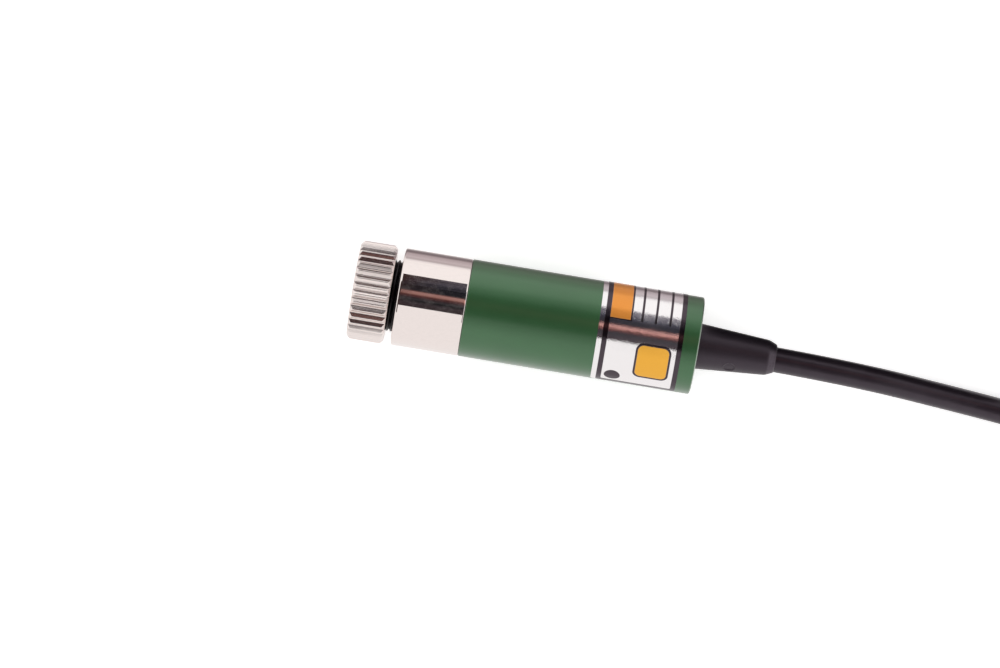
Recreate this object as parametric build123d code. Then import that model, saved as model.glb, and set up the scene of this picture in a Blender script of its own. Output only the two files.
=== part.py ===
"""A focusable laser diode module, lying on its side on a flat surface.

The optical axis is X, with the beam leaving towards -X and the cable towards +X.
The origin is on the axis, halfway along the body. Sizes are in millimetres.
"""

import math
import os

from build123d import *

# Body: a plated barrel in front and an anodised tube behind, flush with each other
body_d = 11.6
barrel_show = 8.1
tube_long = 27.7
tube_wall = 0.5
tube_end_wall = 1.2
spigot_long = 5.3
barrel_chamfer = 0.25
tube_chamfer = 0.15
joint_chamfer = 0.06

# Focus ring: straight V flutes that run out in a bevel at each end
ring_d = 11.8
ring_long = 4.4
ring_gap = 0.9
ring_bevel = 0.42
ring_front_wall = 1.0
flute_count = 38
flute_depth = 0.4
flute_turn = 5.45
beam_hole_d = 5.0
beam_hole_bevel = 0.5

# Lens barrel, its lens and the ring that holds the lens on its shoulder
thread_d = 8.5
thread_lead_in = 0.25
cell_tail = 3.1
cell_hole_d = 5.0
lens_d = 6.3
lens_thick = 2.4
lens_radius = 4.0
lens_clear_d = 5.2
glass_index = 1.5
retainer_d = 6.9
retainer_long = 1.0
retainer_hole_d = 5.3
retainer_slot_wide = 0.8
retainer_slot_deep = 0.4

# Washer and spring behind the lens barrel
washer_d = 8.3
washer_hole_d = 5.2
washer_thick = 0.3
spring_d = 7.4
spring_wire = 0.45
spring_sides = 8
spring_turns = 4

# Laser diode in its can, pressed against a web inside the front barrel
web_thick = 1.0
diode_depth = 0.8
base_d = 5.6
base_thick = 1.2
cap_d = 3.55
cap_long = 2.4
cap_wall = 0.15
cap_hole_d = 1.6
window_d = 2.6
window_thick = 0.25
emitter_height = 1.3
block_wide = 1.6
block_deep = 0.9
pin_d = 0.45
pin_turns = (30, 150, 270)
clamp_d = 7.0
clamp_hole_d = 4.2
clamp_long = 1.5

# Driver board and what is on it
sleeve_wall = 0.3
sleeve_end_gap = 0.1
board_start = 0.5
board_room = 2.2
board_thick = 1.0
pin_lap = 2.0
chip_long = 4.9
chip_wide = 3.9
chip_tall = 1.3
leg_count = 4
leg_wide = 0.4
leg_thick = 0.2
leg_reach = 1.05
leg_foot = 0.5
resistor_long = 2.0
resistor_wide = 1.25
resistor_tall = 0.5
resistor_pitch = 2.0
resistor_count = 4
capacitor_long = 3.2
capacitor_wide = 1.6
capacitor_tall = 1.6
capacitor_edge = 0.25
diode_long = 2.7
diode_wide = 1.6
diode_tall = 1.1
solder_r = 0.55
solder_long = 1.1
solder_slope = 0.3

# Label foil: how far it stands from the tube's back end, and how far it wraps
label_wide = 10.05
label_from_back = 1.94
label_round = 25.0
label_thick = 0.05
label_low_end = 80.5

# Strain relief boot
boot_long = 9.4
boot_start_d = 5.45
boot_end_d = 4.05
boot_nose_long = 1.0
boot_rim = 0.1
boot_neck_d = 4.4
boot_flange_d = 6.4
boot_flange_thick = 1.0
boot_mark_d = 1.4
boot_mark_deep = 0.12
boot_mark_from_tube = 4.1
boot_mark_turn = 52.5

# Cable and its two cores
cable_d = 3.0
jacket_inside = 0.5
core_d = 1.0
core_pitch = 1.24
wire_d = 0.5
lead_spread = 3.2
lead_strip = 1.2
lead_inset = 0.6
lead_bend = 0.9
end_core_long = 6.5
end_wire_long = 4.0
end_core_turn = 4.0
end_wire_d = 0.6

# Hank: two lanes side by side and two layers high, drawn together by a tie
fold_r = 8.7
lane_step = 3.05
waist_inner = 3.3
lobe_reach = 16.0
hank_start = 59.5
hank_shift = 7.0
hank_edge = 1.0
tie_wide = 4.0
tie_thick = 0.45
tie_tail_long = 6.0
tie_tail_wide = 1.6
tie_tail_thick = 0.9
tie_tail_round = 0.5
tail_past_tie = 3.0

# The cable's route from the boot to the hank, as corners chosen by eye.
# It leaves straight, comes down to the surface and bears a little to one side.
# Each bend takes up a share of the shorter run beside it.
first_corner = (33.5, 0)
second_corner = (52.0, -1.4)
hank_corner = (62.0, -2.45)
bend_share = 0.45

# Clearances
slip_gap = 0.02
run_gap = 0.03
boot_gap = 0.05
cap_gap = 0.2
edge_gap = 0.05

# Places along the axis, from front to back
x_shoulder = -(barrel_show + tube_long) / 2
x_joint = x_shoulder + barrel_show
x_back = x_joint + tube_long
ring_back = x_shoulder - ring_gap
ring_front = ring_back - ring_long
cell_front = ring_front + ring_front_wall
base_front = x_joint + diode_depth
base_back = base_front + base_thick
web_front = base_front - web_thick
emitter_x = base_front - emitter_height
spigot_back = x_joint + spigot_long
board_front = spigot_back + board_start
pins_end = board_front + pin_lap
flange_back = x_back - tube_end_wall
flange_front = flange_back - boot_flange_thick
boot_end = x_back + boot_long
jacket_start = flange_front - jacket_inside
board_back = jacket_start - board_room

# The lens stands one back focal length in front of the emitter
focal_length = lens_radius / (glass_index - 1)
seat_x = emitter_x - (focal_length - lens_thick / glass_index)
lens_bulge = lens_radius - math.sqrt(lens_radius**2 - (lens_clear_d / 2) ** 2)
lens_edge_x = seat_x - (lens_thick - lens_bulge)
retainer_front = lens_edge_x - retainer_long
cell_back = seat_x + cell_tail
washer_front = cell_back + slip_gap
washer_back = washer_front + washer_thick

# The diode's three pins stand on a circle that straddles the board
pin_share = math.sin(math.radians(pin_turns[0]))
pin_circle_r = (board_thick + pin_d + 2 * slip_gap) / (1 + pin_share)
board_top = pin_circle_r * pin_share - pin_d / 2 - slip_gap
board_bottom = board_top - board_thick
sleeve_r = body_d / 2 - tube_wall - slip_gap
board_half = math.sqrt((sleeve_r - sleeve_wall - edge_gap) ** 2 - board_bottom**2)

# The chip, the resistors and the capacitor share the board evenly, pins to leads
lead_end = board_back - lead_inset
lead_solder = lead_end - lead_strip
parts_long = chip_long + resistor_long + capacitor_long
part_gap = (lead_solder - pins_end - parts_long) / 4
chip_middle = pins_end + part_gap + chip_long / 2
resistors_front = chip_middle + chip_long / 2 + part_gap
capacitor_front = resistors_front + resistor_long + part_gap

# What the module lies on
floor_z = -ring_d / 2

# Hank outline: lobes of radius lobe_r joined by waists that are tangent to them
lane_r = fold_r + lane_step
lobe_r = lane_r + cable_d / 2
waist_half = waist_inner + lane_step + cable_d / 2
waist_r = (lobe_reach**2 + waist_half**2 - lobe_r**2) / (2 * (lobe_r - waist_half))
waist_y = waist_half + waist_r
waist_turn = math.degrees(math.atan2(lobe_reach, waist_y))
hank_x = hank_start + lobe_r + lobe_reach
hank_y = hank_shift
hank_tall = 2 * cable_d + tie_thick


def face_of(points):
    """A flat face from (x, r) points, in the plane of X and Y."""
    return make_face(Polyline(*points, close=True))


def turned(points, arc=360):
    """A solid turned about the X axis from (x, r) points."""
    return revolve(face_of(points), axis=Axis.X, revolution_arc=arc)


def rod(x_from, x_to, d, y=0.0, z=0.0):
    """A round bar along X."""
    bar = Plane.YZ * Circle(d / 2)
    return Pos(x_from, y, z) * extrude(bar, x_to - x_from)


def pipe(x_from, x_to, outer_d, hole_d):
    """A plain tube on the axis."""
    r, hole = outer_d / 2, hole_d / 2
    return turned([(x_from, hole), (x_to, hole), (x_to, r), (x_from, r)])


def block(x_from, x_to, wide, z_from, z_to, y=0.0):
    """A box by its ends along X, its width about y and its levels."""
    size = (x_to - x_from, wide, z_to - z_from)
    return Pos((x_from + x_to) / 2, y, (z_from + z_to) / 2) * Box(*size)


def swept_round(corners, radii, d):
    """A round bar of diameter d along straight runs joined by tangent arcs."""
    path = FilletPolyline(*corners, radius=radii)
    start = Plane(origin=path @ 0, z_dir=path % 0)
    return sweep(start * Circle(d / 2), path=path), path.length


def arc_radii(corners):
    """The largest radius that each corner's two runs leave room for."""
    radii = []
    for before, here, after in zip(corners, corners[1:], corners[2:]):
        first = Vector(*here) - Vector(*before)
        second = Vector(*after) - Vector(*here)
        half_turn = math.radians(first.get_angle(second)) / 2
        run = min(first.length, second.length)
        radii.append(bend_share * run / math.tan(half_turn))
    return radii


def make_focus_ring():
    """Fluted ring with a beam hole in front and a pocket behind for the lens barrel."""
    crest = ring_d / 2
    star = []
    for k in range(flute_count):
        for share, r in ((0, crest), (0.5, crest - flute_depth)):
            turn = math.radians(flute_turn + (k + share) * 360 / flute_count)
            star.append((-r * math.sin(turn), r * math.cos(turn)))
    # the plane of Y and Z has Y as its first direction
    prism = Plane.YZ * make_face(Polyline(*star, close=True))
    fluted = Pos(ring_front, 0, 0) * extrude(prism, ring_long)
    bevelled = turned(
        [
            (ring_front, 0),
            (ring_front, crest - ring_bevel),
            (ring_front + ring_bevel, crest),
            (ring_back - ring_bevel, crest),
            (ring_back, crest - ring_bevel),
            (ring_back, 0),
        ]
    )
    hole = beam_hole_d / 2
    pocket = thread_d / 2 + slip_gap
    inside = turned(
        [
            (ring_front, 0),
            (ring_front, hole + beam_hole_bevel),
            (ring_front + beam_hole_bevel, hole),
            (cell_front, hole),
            (cell_front, pocket),
            (ring_back, pocket),
            (ring_back, 0),
        ]
    )
    return (fluted & bevelled) - inside


def make_lens_barrel():
    """Threaded cell: pocket for the retainer, seat for the lens, open behind."""
    outer = thread_d / 2
    retainer_r = retainer_d / 2 + slip_gap
    lens_r = lens_d / 2 + slip_gap
    return turned(
        [
            (cell_front, retainer_r),
            (lens_edge_x, retainer_r),
            (lens_edge_x, lens_r),
            (seat_x, lens_r),
            (seat_x, cell_hole_d / 2),
            (cell_back, cell_hole_d / 2),
            (cell_back, outer - thread_lead_in),
            (cell_back - thread_lead_in, outer),
            (cell_front, outer),
        ]
    )


def make_lens():
    """Plano-convex lens, flat towards the emitter, with a flat rim in front."""
    crown_x = seat_x - lens_thick
    clear_r = lens_clear_d / 2
    middle = clear_r / 2
    middle_x = crown_x + lens_radius - math.sqrt(lens_radius**2 - middle**2)
    dome = ThreePointArc((crown_x, 0), (middle_x, middle), (lens_edge_x, clear_r))
    rim = Polyline(
        (lens_edge_x, clear_r),
        (lens_edge_x, lens_d / 2),
        (seat_x, lens_d / 2),
        (seat_x, 0),
        (crown_x, 0),
    )
    return revolve(make_face([dome, rim]), axis=Axis.X)


def make_lens_retainer():
    """Ring with two slots across its front face for a pin spanner."""
    ring = pipe(retainer_front, lens_edge_x, retainer_d, retainer_hole_d)
    slot = block(
        retainer_front,
        retainer_front + retainer_slot_deep,
        retainer_d,
        -retainer_slot_wide / 2,
        retainer_slot_wide / 2,
    )
    return ring - slot


def make_focus_spring():
    """Open coil spring between the washer and the web."""
    room = web_front - washer_back - 2 * slip_gap
    rise = room - spring_wire
    coil = Helix(
        pitch=rise / spring_turns,
        height=rise,
        radius=(spring_d - spring_wire) / 2,
        center=(washer_back + slip_gap + spring_wire / 2, 0, 0),
        direction=(1, 0, 0),
    )
    wire = RegularPolygon(spring_wire / 2, spring_sides)
    section = Plane(origin=coil @ 0, z_dir=coil % 0) * wire
    return sweep(section, path=coil, is_frenet=True)


def make_front_barrel():
    """Plated barrel: thread bore in front, web, and the diode's pocket behind."""
    outer = body_d / 2
    spigot = outer - tube_wall - slip_gap
    bore = thread_d / 2 + run_gap
    return turned(
        [
            (x_shoulder, bore + thread_lead_in),
            (x_shoulder, outer - barrel_chamfer),
            (x_shoulder + barrel_chamfer, outer),
            (x_joint - barrel_chamfer, outer),
            (x_joint, outer - barrel_chamfer),
            (x_joint, spigot),
            (spigot_back, spigot),
            (spigot_back, clamp_d / 2 + slip_gap),
            (base_back, clamp_d / 2 + slip_gap),
            (base_back, base_d / 2 + slip_gap),
            (base_front, base_d / 2 + slip_gap),
            (base_front, cap_d / 2 + cap_gap),
            (web_front, cap_d / 2 + cap_gap),
            (web_front, bore),
            (x_shoulder + thread_lead_in, bore),
        ]
    )


def make_diode_cap():
    """Drawn metal can with a round hole for the beam."""
    tip = base_front - cap_long
    outer = cap_d / 2
    inner = outer - cap_wall
    return turned(
        [
            (tip, cap_hole_d / 2),
            (tip + cap_wall, cap_hole_d / 2),
            (tip + cap_wall, inner),
            (base_front, inner),
            (base_front, outer),
            (tip + cap_wall, outer),
            (tip, inner),
        ]
    )


def make_diode_window():
    """Glass disc glued behind the can's hole."""
    front = base_front - cap_long + cap_wall
    return rod(front, front + window_thick, window_d)


def make_diode_mount_block():
    """Small block on the base that carries the chip beside the axis."""
    return block(emitter_x, base_front, block_wide, -block_deep, 0)


def pin_places():
    """Where the three pins stand, as (y, z)."""
    places = []
    for turn in pin_turns:
        angle = math.radians(turn)
        places.append((pin_circle_r * math.cos(angle), pin_circle_r * math.sin(angle)))
    return places


def make_diode_pins():
    """Three straight pins behind the base, one solid each."""
    return [rod(base_back, pins_end, pin_d, y, z) for y, z in pin_places()]


def make_housing_tube():
    """Thin tube with a closed back that has a hole for the boot's neck."""
    outer = body_d / 2
    inner = outer - tube_wall
    hole = boot_neck_d / 2 + slip_gap
    return turned(
        [
            (x_joint, inner),
            (x_joint, outer - joint_chamfer),
            (x_joint + joint_chamfer, outer),
            (x_back - tube_chamfer, outer),
            (x_back, outer - tube_chamfer),
            (x_back, hole),
            (flange_back, hole),
            (flange_back, inner),
        ]
    )


def make_insulating_sleeve():
    """Thin liner from the spigot to the tube's back wall."""
    front = spigot_back + sleeve_end_gap
    back = flange_back - sleeve_end_gap
    return pipe(front, back, 2 * sleeve_r, 2 * (sleeve_r - sleeve_wall))


def make_label_foil():
    """Foil wrapped part of the way round the tube, from its low end upwards."""
    inner = body_d / 2
    back = x_back - label_from_back
    front = back - label_wide
    wrap = math.degrees(label_round / (inner + label_thick / 2))
    strip = [
        (front, inner),
        (back, inner),
        (back, inner + label_thick),
        (front, inner + label_thick),
    ]
    low_end = 90 + label_low_end
    return Rot(X=low_end - wrap) * turned(strip, arc=wrap)


def boot_r(from_tube):
    """The tapered boot's radius at a distance behind the tube."""
    share = from_tube / boot_long
    return (boot_start_d + share * (boot_end_d - boot_start_d)) / 2


def make_strain_relief():
    """Tapered boot with a rounded nose, and a neck and flange held in the back wall."""
    bore = cable_d / 2 + boot_gap
    nose = (boot_end - boot_nose_long, boot_r(boot_long - boot_nose_long))
    rim = (boot_end, bore + boot_rim)
    sides = Polyline(
        rim,
        (boot_end, bore),
        (flange_front, bore),
        (flange_front, boot_flange_d / 2),
        (flange_back, boot_flange_d / 2),
        (flange_back, boot_neck_d / 2),
        (x_back, boot_neck_d / 2),
        (x_back, boot_start_d / 2),
        nose,
    )
    rounding = Bezier(nose, (boot_end, boot_end_d / 2), rim)
    boot = revolve(make_face([sides, rounding]), axis=Axis.X)
    mark = Cylinder(boot_mark_d / 2, 2 * boot_mark_deep)
    mark = Pos(x_back + boot_mark_from_tube, 0, boot_r(boot_mark_from_tube)) * mark
    return boot - Rot(X=boot_mark_turn) * mark


def make_driver_chip():
    """Eight-legged chip: a raised body with bent legs along both sides."""
    low = board_top + leg_thick
    start = chip_middle - chip_long / 2
    chip = block(start, start + chip_long, chip_wide, low, low + chip_tall)
    leg_high = low + chip_tall / 2
    pitch = chip_long / leg_count
    for side in (-1, 1):
        edge = side * chip_wide / 2
        tip = side * (chip_wide / 2 + leg_reach)
        knee = tip - side * leg_foot
        profile = [
            (edge, leg_high),
            (knee, leg_high),
            (knee, low),
            (tip, low),
            (tip, board_top),
            (knee - side * leg_thick, board_top),
            (knee - side * leg_thick, leg_high - leg_thick),
            (edge, leg_high - leg_thick),
        ]
        leg = extrude(Plane.YZ * make_face(Polyline(*profile, close=True)), leg_wide)
        for k in range(leg_count):
            x = chip_middle + (k - (leg_count - 1) / 2) * pitch - leg_wide / 2
            chip += Pos(x, 0, 0) * leg
    return chip


def make_driver_resistors():
    """A row of small resistors across the board, one solid each."""
    back = resistors_front + resistor_long
    top = board_top + resistor_tall
    row = []
    for k in range(resistor_count):
        y = (k - (resistor_count - 1) / 2) * resistor_pitch
        row.append(block(resistors_front, back, resistor_wide, board_top, top, y))
    return row


def make_driver_capacitor():
    """Moulded capacitor with chamfered long edges."""
    back = capacitor_front + capacitor_long
    top = board_top + capacitor_tall
    y = -board_half / 2
    body = block(capacitor_front, back, capacitor_wide, board_top, top, y)
    edges = body.edges().filter_by(Axis.X).group_by(Axis.Z)[-1]
    return chamfer(edges, capacitor_edge)


def make_protection_diode():
    """Small diode beside the capacitor."""
    back = capacitor_front + diode_long
    top = board_top + diode_tall
    return block(capacitor_front, back, diode_wide, board_top, top, board_half / 2)


def solder_dab(x_from, y, z, wire, surface, above):
    """Solder round a wire that lies along X, down or up to the board's surface."""
    dab = rod(x_from, x_from + solder_long, 2 * solder_r, y, z)
    dab = chamfer(dab.edges(), solder_slope)
    reach = 2 * solder_r
    low, high = (surface, surface + reach) if above else (surface - reach, surface)
    keep = block(x_from, x_from + solder_long, 4 * solder_r, low, high, y)
    return (dab & keep) - rod(x_from, x_from + solder_long, wire, y, z)


def lead_level():
    """How high the leads' middles lie over the board."""
    return board_top + core_d / 2 + slip_gap


def make_solder_joints():
    """Solder on the three pins and on the two leads, one solid each."""
    start = pins_end - solder_long
    joints = []
    for y, z in pin_places():
        above = z > 0
        surface = board_top if above else board_bottom
        joints.append(solder_dab(start, y, z, pin_d, surface, above))
    for side in (-1, 1):
        y = side * lead_spread / 2
        dab = solder_dab(lead_solder, y, lead_level(), wire_d, board_top, True)
        joints.append(dab)
    return joints


def make_lead(side):
    """One core from the jacket's inner end down to the board, stripped at its end."""
    y_cable, y_board = side * core_pitch / 2, side * lead_spread / 2
    first = jacket_start - core_d / 2
    second = (first + lead_end) / 2
    corners = [
        (jacket_start, y_cable, 0),
        (first, y_cable, 0),
        (second, y_board, lead_level()),
        (lead_end, y_board, lead_level()),
    ]
    core, _ = swept_round(corners, lead_bend, core_d)
    return core + rod(lead_solder, lead_end, wire_d, y_board, lead_level())


def cable_corners():
    """The corners of the cable's route, from its inner end to the hank."""
    level = floor_z + cable_d / 2
    return [
        (jacket_start, 0, 0),
        (*first_corner, 0),
        (*second_corner, level),
        (*hank_corner, level),
    ]


def make_cable():
    """The cable's stretch that isn't folded."""
    corners = cable_corners()
    radii = arc_radii(corners)
    print("cable bends, mm:", [round(r, 1) for r in radii])
    cable, length = swept_round(corners, radii, cable_d)
    section = math.pi * cable_d**2 / 4
    print(f"cable {length:.1f} mm, volume {cable.volume:.2f}, by length {section * length:.2f}")
    return cable


def hank_outline():
    """Two round lobes drawn together at a waist, about the hank's middle."""
    lobe_turn = 90 + waist_turn
    return make_face(
        [
            CenterArc((lobe_reach, 0), lobe_r, -lobe_turn, 2 * lobe_turn),
            CenterArc((0, waist_y), waist_r, -90 - waist_turn, 2 * waist_turn),
            CenterArc((-lobe_reach, 0), lobe_r, 180 - lobe_turn, 2 * lobe_turn),
            CenterArc((0, -waist_y), waist_r, 90 - waist_turn, 2 * waist_turn),
        ]
    )


def hank_way_in():
    """The cable's last stretch beside the hank, as a strip as wide as the cable."""
    start = Vector(*hank_corner, floor_z)
    goal = Vector(hank_x - lobe_reach, hank_y - lane_r, floor_z)
    before = Vector(*second_corner, floor_z)
    along = (start - before).normalized()
    reach = (goal - start).dot(along)
    across = Vector(-along.Y, along.X, 0) * (cable_d / 2)
    far = start + along * reach
    strip = Polyline(start + across, start - across, far - across, far + across, close=True)
    return extrude(make_face(strip), cable_d, dir=(0, 0, 1))


def tail_start():
    """Where the jacket ends, as its place and the direction in which it points."""
    x = tie_wide / 2 + tail_past_tie
    r = waist_r + cable_d / 2
    turn = math.asin(x / r)
    y = -(waist_y - r * math.cos(turn))
    upper_layer = floor_z + cable_d + cable_d / 2
    place = Vector(hank_x + x, hank_y + y, upper_layer)
    return place, Vector(math.cos(turn), -math.sin(turn), 0)


def make_cable_hank():
    """The folded cable as one closed solid, without the tie and the stripped ends."""
    body = extrude(hank_outline(), hank_tall)
    body = fillet(body.edges().group_by(Axis.Z)[-1], hank_edge)
    hank = Pos(hank_x, hank_y, floor_z) * body
    hank += hank_way_in()
    hank -= make_hank_tie()
    # the upper layer stops short where the cores come out of the jacket
    place, along = tail_start()
    deep = waist_half + lobe_r
    notch = Box(deep, deep, hank_tall, align=(Align.MIN, Align.MAX, Align.MIN))
    notch = Pos(0, cable_d, cable_d) * notch
    turn = math.degrees(math.atan2(along.Y, along.X))
    return hank - Pos(place.X, place.Y, floor_z) * Rot(Z=turn) * notch


def make_hank_tie():
    """Flat band round the hank's waist, its two ends twisted together on top."""
    wide, tall = 2 * waist_half, hank_tall - tie_thick
    outside = RectangleRounded(
        wide + 2 * tie_thick, tall + 2 * tie_thick, hank_edge + tie_thick
    )
    band = Plane.YZ * (outside - RectangleRounded(wide, tall, hank_edge))
    band = extrude(band, tie_wide)
    top = tall / 2 + tie_thick
    ends = RectangleRounded(tie_tail_long, tie_tail_wide, tie_tail_round)
    ends = Pos(tie_wide / 2, 0, top) * Rot(Z=90) * extrude(ends, tie_tail_thick)
    middle = floor_z + tie_thick + tall / 2
    return Pos(hank_x - tie_wide / 2, hank_y, middle) * (band + ends)


def make_core_end(side):
    """One core past the jacket's end, turned a little aside, with a tinned tip."""
    place, along = tail_start()
    start = place.add(Vector(-along.Y, along.X, 0) * (side * core_pitch / 2))
    core = Circle(core_d / 2)
    tip = Circle(end_wire_d / 2)
    piece = extrude(core, end_core_long)
    piece += Pos(0, 0, end_core_long) * extrude(tip, end_wire_long)
    aim = along.rotate(Axis.Z, side * end_core_turn)
    return Plane(origin=start, z_dir=aim) * piece


def save(node, made):
    """Write one node, as a solid or as a group of separate solids."""
    shape = Compound(children=list(made)) if isinstance(made, list) else made
    export_step(shape, f"parts/{node}.step")


def main():
    """Build every node and write it."""
    os.makedirs("parts", exist_ok=True)
    save("focus_ring", make_focus_ring())
    save("lens_barrel", make_lens_barrel())
    save("collimating_lens", make_lens())
    save("lens_retainer", make_lens_retainer())
    save("slip_washer", pipe(washer_front, washer_back, washer_d, washer_hole_d))
    save("focus_spring", make_focus_spring())
    save("front_barrel", make_front_barrel())
    save("diode_base", rod(base_front, base_back, base_d))
    save("diode_cap", make_diode_cap())
    save("diode_window", make_diode_window())
    save("diode_mount_block", make_diode_mount_block())
    save("diode_pins", make_diode_pins())
    clamp_back = base_back + clamp_long
    save("diode_clamp_ring", pipe(base_back, clamp_back, clamp_d, clamp_hole_d))
    save("housing_tube", make_housing_tube())
    save("insulating_sleeve", make_insulating_sleeve())
    board = block(board_front, board_back, 2 * board_half, board_bottom, board_top)
    save("driver_board", board)
    save("driver_chip", make_driver_chip())
    save("driver_resistors", make_driver_resistors())
    save("driver_capacitor", make_driver_capacitor())
    save("protection_diode", make_protection_diode())
    save("solder_joints", make_solder_joints())
    save("label_foil", make_label_foil())
    save("strain_relief", make_strain_relief())
    save("red_lead", make_lead(1))
    save("black_lead", make_lead(-1))
    save("cable", make_cable())
    save("cable_hank", make_cable_hank())
    save("hank_tie", make_hank_tie())
    save("red_core_end", make_core_end(1))
    save("black_core_end", make_core_end(-1))


main()
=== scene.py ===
"""Looks of a focusable laser diode module that lies on a pale surface.

The optical axis is X, the beam leaves towards -X, and the camera looks straight down.
Blender's lengths are metres. Sizes of the object are written in millimetres, and mm()
or MM turns them into metres. Turns about the axis are measured from the upper side,
positive towards -Y, which is the picture's lower edge.
"""

import math

import bmesh
import bpy
from mathutils import Matrix, Vector


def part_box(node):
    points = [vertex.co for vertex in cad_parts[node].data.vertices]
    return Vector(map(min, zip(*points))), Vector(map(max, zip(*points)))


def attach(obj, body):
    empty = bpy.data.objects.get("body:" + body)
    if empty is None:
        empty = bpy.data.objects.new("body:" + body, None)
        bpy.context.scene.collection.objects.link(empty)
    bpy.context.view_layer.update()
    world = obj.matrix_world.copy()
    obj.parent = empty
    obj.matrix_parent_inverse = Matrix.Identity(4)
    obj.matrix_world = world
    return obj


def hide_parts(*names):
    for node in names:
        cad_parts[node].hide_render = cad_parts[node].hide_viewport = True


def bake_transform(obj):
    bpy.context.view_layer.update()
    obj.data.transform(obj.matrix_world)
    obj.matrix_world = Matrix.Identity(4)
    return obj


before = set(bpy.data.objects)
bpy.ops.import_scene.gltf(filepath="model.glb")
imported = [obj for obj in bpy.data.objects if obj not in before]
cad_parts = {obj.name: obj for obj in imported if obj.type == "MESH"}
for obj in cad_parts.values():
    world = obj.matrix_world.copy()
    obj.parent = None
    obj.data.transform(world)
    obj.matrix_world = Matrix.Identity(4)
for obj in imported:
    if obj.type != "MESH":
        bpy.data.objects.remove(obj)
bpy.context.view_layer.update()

MM = 0.001

# Camera: straight above the body, turned a little about the vertical
camera_place = (-0.0053, -0.00243, 0.5)
camera_turn = 9.43
camera_lens = 152.1
sensor_wide = 36.0

# Studio: the room's light on dull surfaces, the light that metal mirrors of it from
# the picture's lower side and from its upper side, and the key lamp
room_light = 0.74
room_tint = (1, 0.985, 0.98)
room_mirrored = (0.97, 1.06)
floor_white = 0.93
floor_glow = 0.45
floor_half = 4.0
floor_gap = 0.02
key_power = 2.0
key_wide = 0.9
key_place = (0.05, -0.15, 0.85)

# Painted reflection: what metal mirrors of the floor, which the camera sees white, by its distance in
# millimetres to the picture's top
floor_painted_reflection = (
    (-20.0, (0.97, 0.955, 0.95)),
    (6.5, (0.97, 0.955, 0.95)),
    (9.5, (0.31, 0.27, 0.28)),
    (11.5, (0.21, 0.17, 0.18)),
    (13.0, (0.25, 0.21, 0.22)),
    (15.5, (0.49, 0.42, 0.44)),
    (25.0, (0.62, 0.55, 0.57)),
    (33.0, (0.52, 0.47, 0.48)),
    (40.0, (0.61, 0.56, 0.57)),
    (52.0, (0.92, 0.89, 0.90)),
    (100.0, (1.06, 1.04, 1.03)),
)

# Painted reflection: a dark glowing card overhead that only metal mirrors, with a warm
# strip in it: its colours by their angle from the vertical, positive towards the picture's top.
card_height = 0.8
card_half_long = 0.6
card_colours = (
    (-19.4, (0.038, 0.029, 0.032)),
    (-9.0, (0.044, 0.036, 0.042)),
    (-2.0, (0.030, 0.031, 0.035)),
    (3.0, (0.040, 0.027, 0.031)),
    (7.0, (0.080, 0.030, 0.030)),
    (9.5, (0.22, 0.095, 0.085)),
    (11.5, (0.45, 0.23, 0.20)),
    (16.4, (0.50, 0.27, 0.24)),
    (18.2, (0.12, 0.060, 0.058)),
    (20.5, (0.022, 0.021, 0.026)),
    (31.0, (0.018, 0.018, 0.024)),
    (40.0, (0.044, 0.043, 0.058)),
    (51.0, (0.090, 0.082, 0.100)),
    (56.2, (0.11, 0.10, 0.12)),
)
card_brown = (0.052, 0.026, 0.024)

# The strip has no blotches between the angles where it fades in and out. The card gets
# brighter and its bands lean from the barrel to the foil, between two places along X in
# metres, and it is plain brown over the ring.
card_strip = ((6.0, 10.0), (19.0, 17.0))
card_blotch = (0.45, 1.9)
card_to_foil = (-0.015, 0.02)
card_bright = (0.76, 1.5)
card_lean = (0.0, 1.6)
card_to_ring = (-0.0388, -0.0403)

# Bright pieces mirror only the card's middle, given along X in metres; satin ones also
# mirror its wings, which hang nearer to the picture's lower side by an angle.
card_middle = (-0.09, 0.125)
card_wing_turn = 19.0

# Painted reflection: a dark card that stands beside the cable, on the picture's upper side,
# seen only by mirrored rays, so the boot and cable mirror dark there; in millimetres
side_card = {"x": (19.0, 57.0), "y": 6.0, "z": (-5.8, 4.2)}

# Colours
nickel = (0.862, 0.785, 0.758)
tin = (0.72, 0.71, 0.69)
sheen_tint = (1, 0.84, 1)
core_red = (0.55, 0.02, 0.02)
core_black = (0.022, 0.02, 0.022)
foil_silver = (0.90, 0.875, 0.88)
foil_amber = (0.87, 0.435, 0.045)
foil_orange = (0.86, 0.32, 0.05)
foil_dark = (0.080, 0.064, 0.076)

# Places along the axis, from front to back
ring_front = -23.2
ring_back = -18.8
cell_front = -22.2
x_shoulder = -17.9
lens_crown = -19.1
lens_edge_x = -18.14
seat_x = -16.7
cell_back = -13.6
washer_back = -13.28
web_front = -10.0
x_joint = -9.8
base_front = -9.0
base_back = -7.8
spigot_back = -4.5
flange_front = 15.7
flange_back = 16.7
x_back = 17.9
boot_end = 27.3

# Where the floor's painted reflection bands start to give way in front of the ring, and where they are
# gone
floor_plain = (ring_front - 0.5, ring_front - 4.5)

# Diameters and small sizes of the turned pieces. An ease is how far a rounding reaches.
body_d = 11.6
tube_wall = 0.5
barrel_chamfer = 0.25
tube_chamfer = 0.15
joint_chamfer = 0.06
tube_ease = 0.04
turned_ease = 0.05
ring_d = 11.8
ring_bevel = 0.42
flute_count = 38
flute_depth = 0.4
crest_ease = 0.11
valley_ease = 0.11
flute_turn = 5.45
beam_hole_d = 5.0
beam_hole_bevel = 0.5
thread_d = 8.5
thread_lead_in = 0.25
slip_gap = 0.02
run_gap = 0.03
lens_d = 6.3
lens_radius = 4.0
lens_clear_d = 5.2
cell_hole_d = 5.0
retainer_d = 6.9
clamp_d = 7.0
diode_d = 5.6
cap_d = 3.55
cap_gap = 0.2
spring_d = 7.4
spring_wire = 0.45
spring_turns = 4
boot_start_d = 5.45
boot_end_d = 4.05
boot_neck_d = 4.4
boot_flange_d = 6.4
boot_gap = 0.05
boot_mouth = 0.03

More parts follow.
